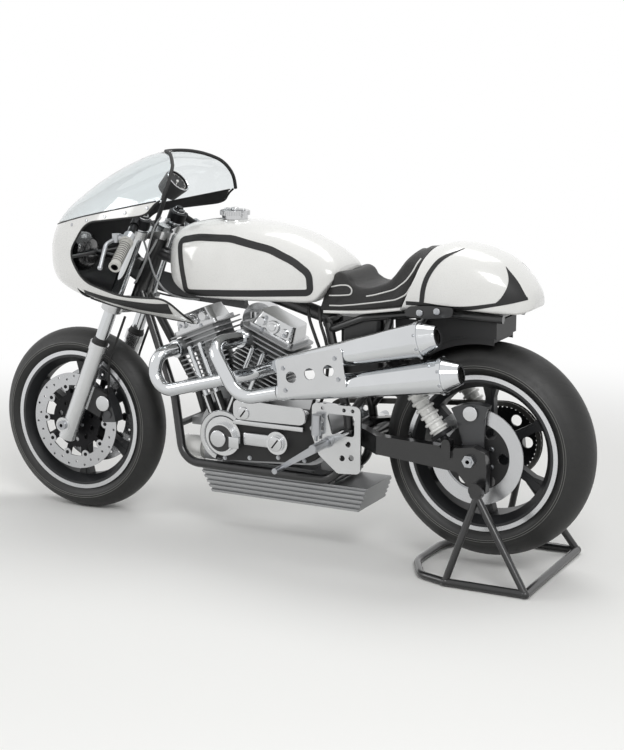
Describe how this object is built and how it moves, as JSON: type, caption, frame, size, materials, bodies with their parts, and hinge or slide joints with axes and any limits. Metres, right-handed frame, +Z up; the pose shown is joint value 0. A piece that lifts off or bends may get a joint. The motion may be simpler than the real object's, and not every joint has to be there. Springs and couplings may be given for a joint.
{
  "type": "half-faired single-seat motorcycle",
  "caption": "White half-faired single-seat road motorcycle with an air-cooled V-twin engine and stacked upswept exhausts, held upright on a tubular paddock stand.",
  "frame": {"origin": "on the floor, midway between the foremost and rearmost points of the tyres, on the centre plane", "axes": "+X to the front, +Y to the left side with the exhausts, +Z up"},
  "size_m": [2.053, 0.6998, 1.1912],
  "materials": {
    "tyre_rubber": "matt",
    "wheel_paint": "satin",
    "black_anodised": "satin",
    "disc_steel": "brushed",
    "zinc_steel": "satin",
    "chain_steel": "oiled",
    "hard_chrome": "polished",
    "polished_aluminium": "polished",
    "caliper_paint": "satin",
    "hose_rubber": "matt",
    "grip_rubber": "matt",
    "black_plastic": "matt",
    "frame_paint": "gloss",
    "spring_paint": "gloss",
    "cast_aluminium": "as cast",
    "white_paint": "gloss",
    "black_leather": "satin",
    "clear_screen": "polished",
    "lamp_glass": "polished"
  },
  "bodies": {
    "frame": {"rear_axle": "zinc_steel", "main_frame": "frame_paint", "swingarm": "frame_paint", "shock_bodies": "polished_aluminium", "shock_springs": "spring_paint", "rear_caliper": "caliper_paint", "crankcase": "cast_aluminium", "gearcase_cover": "polished_aluminium", "primary_cover": "polished_aluminium", "cylinders": "cast_aluminium", "cylinder_heads": "cast_aluminium", "rocker_boxes": "polished_aluminium", "pushrod_tubes": "hard_chrome", "carburettor": "cast_aluminium", "oil_filter": "hard_chrome", "oil_sump": "cast_aluminium", "front_exhaust": "hard_chrome", "rear_exhaust": "hard_chrome", "exhaust_plate": "polished_aluminium", "chain": "chain_steel", "front_sprocket": "zinc_steel", "rearset_plates": "polished_aluminium", "foot_controls": "polished_aluminium", "oil_tank": "frame_paint", "rear_mudguard": "black_plastic", "fuel_tank": "white_paint", "filler_cap": "polished_aluminium", "seat_pad": "black_leather", "tail_cowl": "white_paint", "fairing": "white_paint", "windscreen": "clear_screen", "headlamp": "lamp_glass", "fairing_stay": "frame_paint", "paddock_stand": "frame_paint"},
    "steering": {"front_axle": "zinc_steel", "fork_yokes": "black_anodised", "fork_tubes": "hard_chrome", "fork_sliders": "polished_aluminium", "front_calipers": "caliper_paint", "brake_hoses": "hose_rubber", "bar_clamps": "black_anodised", "clip_on_bars": "black_anodised", "grips": "grip_rubber", "hand_levers": "polished_aluminium", "tachometer": "black_plastic"},
    "front_wheel_set": {"front_tyre": "tyre_rubber", "front_wheel": "wheel_paint", "front_disc_carriers": "black_anodised", "front_discs": "disc_steel"},
    "rear_wheel_set": {"rear_tyre": "tyre_rubber", "rear_wheel": "wheel_paint", "rear_disc": "disc_steel", "rear_sprocket": "zinc_steel"}
  },
  "joints": [
    {"name": "steering", "type": "hinge", "parent": "frame", "child": "steering", "pos_m": [0.68668, 0, 0.28737], "axis": [-0.3907, 0, 0.9205], "range_deg": [-24, 24]},
    {"name": "front_wheel_spin", "type": "hinge", "parent": "steering", "child": "front_wheel_set", "pos_m": [0.7235, 0, 0.303], "axis": [0, 1, 0], "continuous": true},
    {"name": "rear_wheel_spin", "type": "hinge", "parent": "frame", "child": "rear_wheel_set", "pos_m": [-0.7065, 0, 0.36], "axis": [0, 1, 0], "continuous": true}
  ]
}
